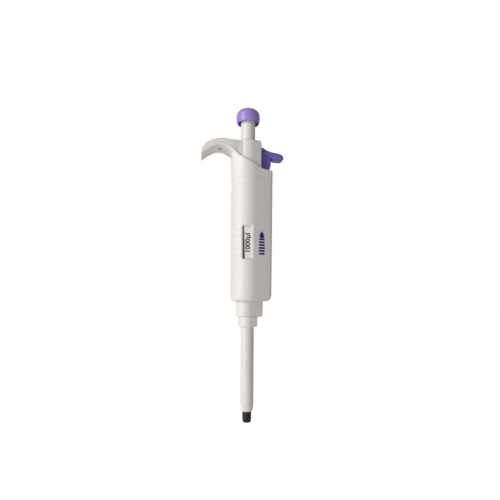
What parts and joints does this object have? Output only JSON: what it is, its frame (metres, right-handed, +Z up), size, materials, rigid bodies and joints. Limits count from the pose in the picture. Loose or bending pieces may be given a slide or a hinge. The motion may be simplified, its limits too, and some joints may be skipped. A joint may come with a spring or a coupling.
{
  "type": "air-displacement pipette",
  "caption": "Hand-held fixed-volume air-displacement pipette with a finger hook, a thumb plunger button, a side tip-ejector button and a long white sleeve over a black nozzle.",
  "frame": {"origin": "centre line of the flat land on the underside of the finger hook, where the pipette rests on a finger or on a stand's bar", "axes": "+Z up along the piston axis towards the push button, +X from the finger hook towards the tip ejector button, -Y the side of the volume window"},
  "size_m": [0.063, 0.0254, 0.2405],
  "materials": {
    "white_shell": "fine moulded satin, warm white",
    "lilac_button": "moulded satin gloss, lilac",
    "violet_lever": "moulded satin gloss, violet",
    "black_nozzle": "moulded satin, black",
    "natural_plastic": "machined, natural off-white",
    "grey_plastic": "moulded matt, light grey",
    "window_pane": "clear moulded pane",
    "label_film": "matt ivory label with black figures",
    "seal_rubber": "matt black",
    "steel_parts": "bright drawn stainless",
    "brass_nut": "turned"
  },
  "bodies": {
    "handle": {"handle_body": "white_shell", "head_cover": "white_shell", "hook_screw": "steel_parts", "window_lens": "window_pane", "volume_label": "label_film", "guide_bush": "natural_plastic", "inner_tube": "grey_plastic", "cylinder": "grey_plastic", "piston_seal": "natural_plastic", "seal_o_ring": "seal_rubber", "seal_retainer": "natural_plastic", "tip_cone": "black_nozzle", "cone_o_ring": "seal_rubber", "return_spring": "steel_parts", "blowout_spring": "steel_parts", "ejector_spring": "steel_parts"},
    "plunger": {"push_button": "lilac_button", "plunger_rod": "white_shell", "calibration_nut": "brass_nut", "push_shaft": "steel_parts", "shaft_clip": "steel_parts", "spring_cap": "natural_plastic", "piston": "steel_parts"},
    "blowout_stop": {"blowout_washer": "steel_parts"},
    "ejector": {"ejector_button": "violet_lever", "ejector_rod": "steel_parts", "ejector_sleeve": "white_shell"}
  },
  "joints": [
    {"name": "plunger_slide", "type": "slide", "parent": "handle", "child": "plunger", "axis": [0, 0, -1], "range_m": [0, 0.014], "stiffness_N_per_m": 250, "springref_m": -0.01, "deforming": ["return_spring"]},
    {"name": "blowout_slide", "type": "slide", "parent": "handle", "child": "blowout_stop", "axis": [0, 0, -1], "range_m": [0, 0.002], "stiffness_N_per_m": 1200, "springref_m": -0.002, "deforming": ["blowout_spring"]},
    {"name": "ejector_slide", "type": "slide", "parent": "handle", "child": "ejector", "axis": [0, 0, -1], "range_m": [0, 0.007], "stiffness_N_per_m": 500, "springref_m": -0.006, "deforming": ["ejector_spring"]}
  ],
  "couplings": [
    {"joint": "blowout_slide", "follows": "plunger_slide", "ratio": 0.14286}
  ]
}
